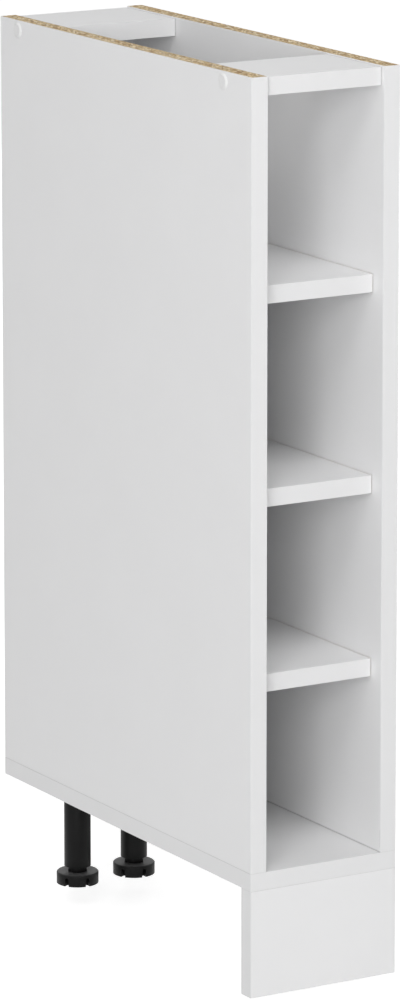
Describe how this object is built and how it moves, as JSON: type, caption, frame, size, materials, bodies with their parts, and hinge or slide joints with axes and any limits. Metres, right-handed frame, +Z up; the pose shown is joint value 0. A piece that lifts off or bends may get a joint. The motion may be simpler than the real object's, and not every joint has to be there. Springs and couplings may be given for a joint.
{
  "type": "narrow base shelf unit",
  "caption": "Narrow open kitchen base unit: white chipboard carcass with loose shelves, raw top edges for a worktop, a front plinth board and adjustable rear legs.",
  "frame": {"origin": "on the floor, under the middle of the unit's box", "axes": "+Z up, -Y out of the open front, +X to the right seen from the front"},
  "size_m": [0.1524, 0.448, 0.817],
  "materials": {
    "white_melamine": "matt white melamine on chipboard, raw chipboard on unbanded edges",
    "white_edge_band": "matt white edge band",
    "hardboard": "smooth hardboard, white lacquer on the inner face and plain brown on the outer",
    "beech": "fluted beech dowel",
    "zinc_steel": "zinc-plated steel",
    "white_plastic": "satin white moulding",
    "black_plastic": "matt black moulding"
  },
  "bodies": {
    "carcass": {"left_side_panel": "white_melamine", "right_side_panel": "white_melamine", "bottom_panel": "white_melamine", "front_top_rail": "white_melamine", "rear_top_rail": "white_melamine", "plinth_board": "white_melamine", "left_side_front_band": "white_edge_band", "right_side_front_band": "white_edge_band", "bottom_front_band": "white_edge_band", "bottom_left_band": "white_edge_band", "bottom_right_band": "white_edge_band", "plinth_left_band": "white_edge_band", "plinth_right_band": "white_edge_band", "front_rail_band": "white_edge_band", "rear_rail_band": "white_edge_band", "back_panel": "hardboard", "rail_dowels": "beech", "bottom_dowels": "beech", "plinth_dowels": "beech", "rail_screws": "zinc_steel", "bottom_screws": "zinc_steel", "bracket_screws": "zinc_steel", "leg_screws": "zinc_steel", "left_plinth_bracket": "zinc_steel", "right_plinth_bracket": "zinc_steel", "upper_shelf_pins": "zinc_steel", "middle_shelf_pins": "zinc_steel", "lower_shelf_pins": "zinc_steel", "screw_caps": "white_plastic", "left_leg_mount": "black_plastic", "right_leg_mount": "black_plastic", "left_leg_tube": "black_plastic", "right_leg_tube": "black_plastic"},
    "upper_shelf": {"upper_shelf": "white_melamine", "upper_shelf_band": "white_edge_band"},
    "middle_shelf": {"middle_shelf": "white_melamine", "middle_shelf_band": "white_edge_band"},
    "lower_shelf": {"lower_shelf": "white_melamine", "lower_shelf_band": "white_edge_band"},
    "left_foot_stem": {"left_foot_stem": "black_plastic"},
    "left_foot_pad": {"left_foot_pad": "black_plastic"},
    "right_foot_stem": {"right_foot_stem": "black_plastic"},
    "right_foot_pad": {"right_foot_pad": "black_plastic"}
  },
  "joints": [
    {"name": "upper_shelf_slide", "type": "slide", "parent": "carcass", "child": "upper_shelf", "axis": [0, -1, 0], "range_m": [0, 0.165]},
    {"name": "middle_shelf_slide", "type": "slide", "parent": "carcass", "child": "middle_shelf", "axis": [0, -1, 0], "range_m": [0, 0.165]},
    {"name": "lower_shelf_slide", "type": "slide", "parent": "carcass", "child": "lower_shelf", "axis": [0, -1, 0], "range_m": [0, 0.165]},
    {"name": "left_foot_height", "type": "slide", "parent": "carcass", "child": "left_foot_stem", "axis": [0, 0, -1], "range_m": [-0.005, 0.02]},
    {"name": "left_foot_turn", "type": "hinge", "parent": "left_foot_stem", "child": "left_foot_pad", "pos_m": [-0.0305, 0.1645, 0], "axis": [0, 0, -1], "range_deg": [-450, 1800]},
    {"name": "right_foot_height", "type": "slide", "parent": "carcass", "child": "right_foot_stem", "axis": [0, 0, -1], "range_m": [-0.005, 0.02]},
    {"name": "right_foot_turn", "type": "hinge", "parent": "right_foot_stem", "child": "right_foot_pad", "pos_m": [0.0305, 0.1645, 0], "axis": [0, 0, -1], "range_deg": [-450, 1800]}
  ],
  "couplings": [
    {"joint": "left_foot_height", "follows": "left_foot_turn", "m_per_rad": 0.00063662},
    {"joint": "right_foot_height", "follows": "right_foot_turn", "m_per_rad": 0.00063662}
  ]
}
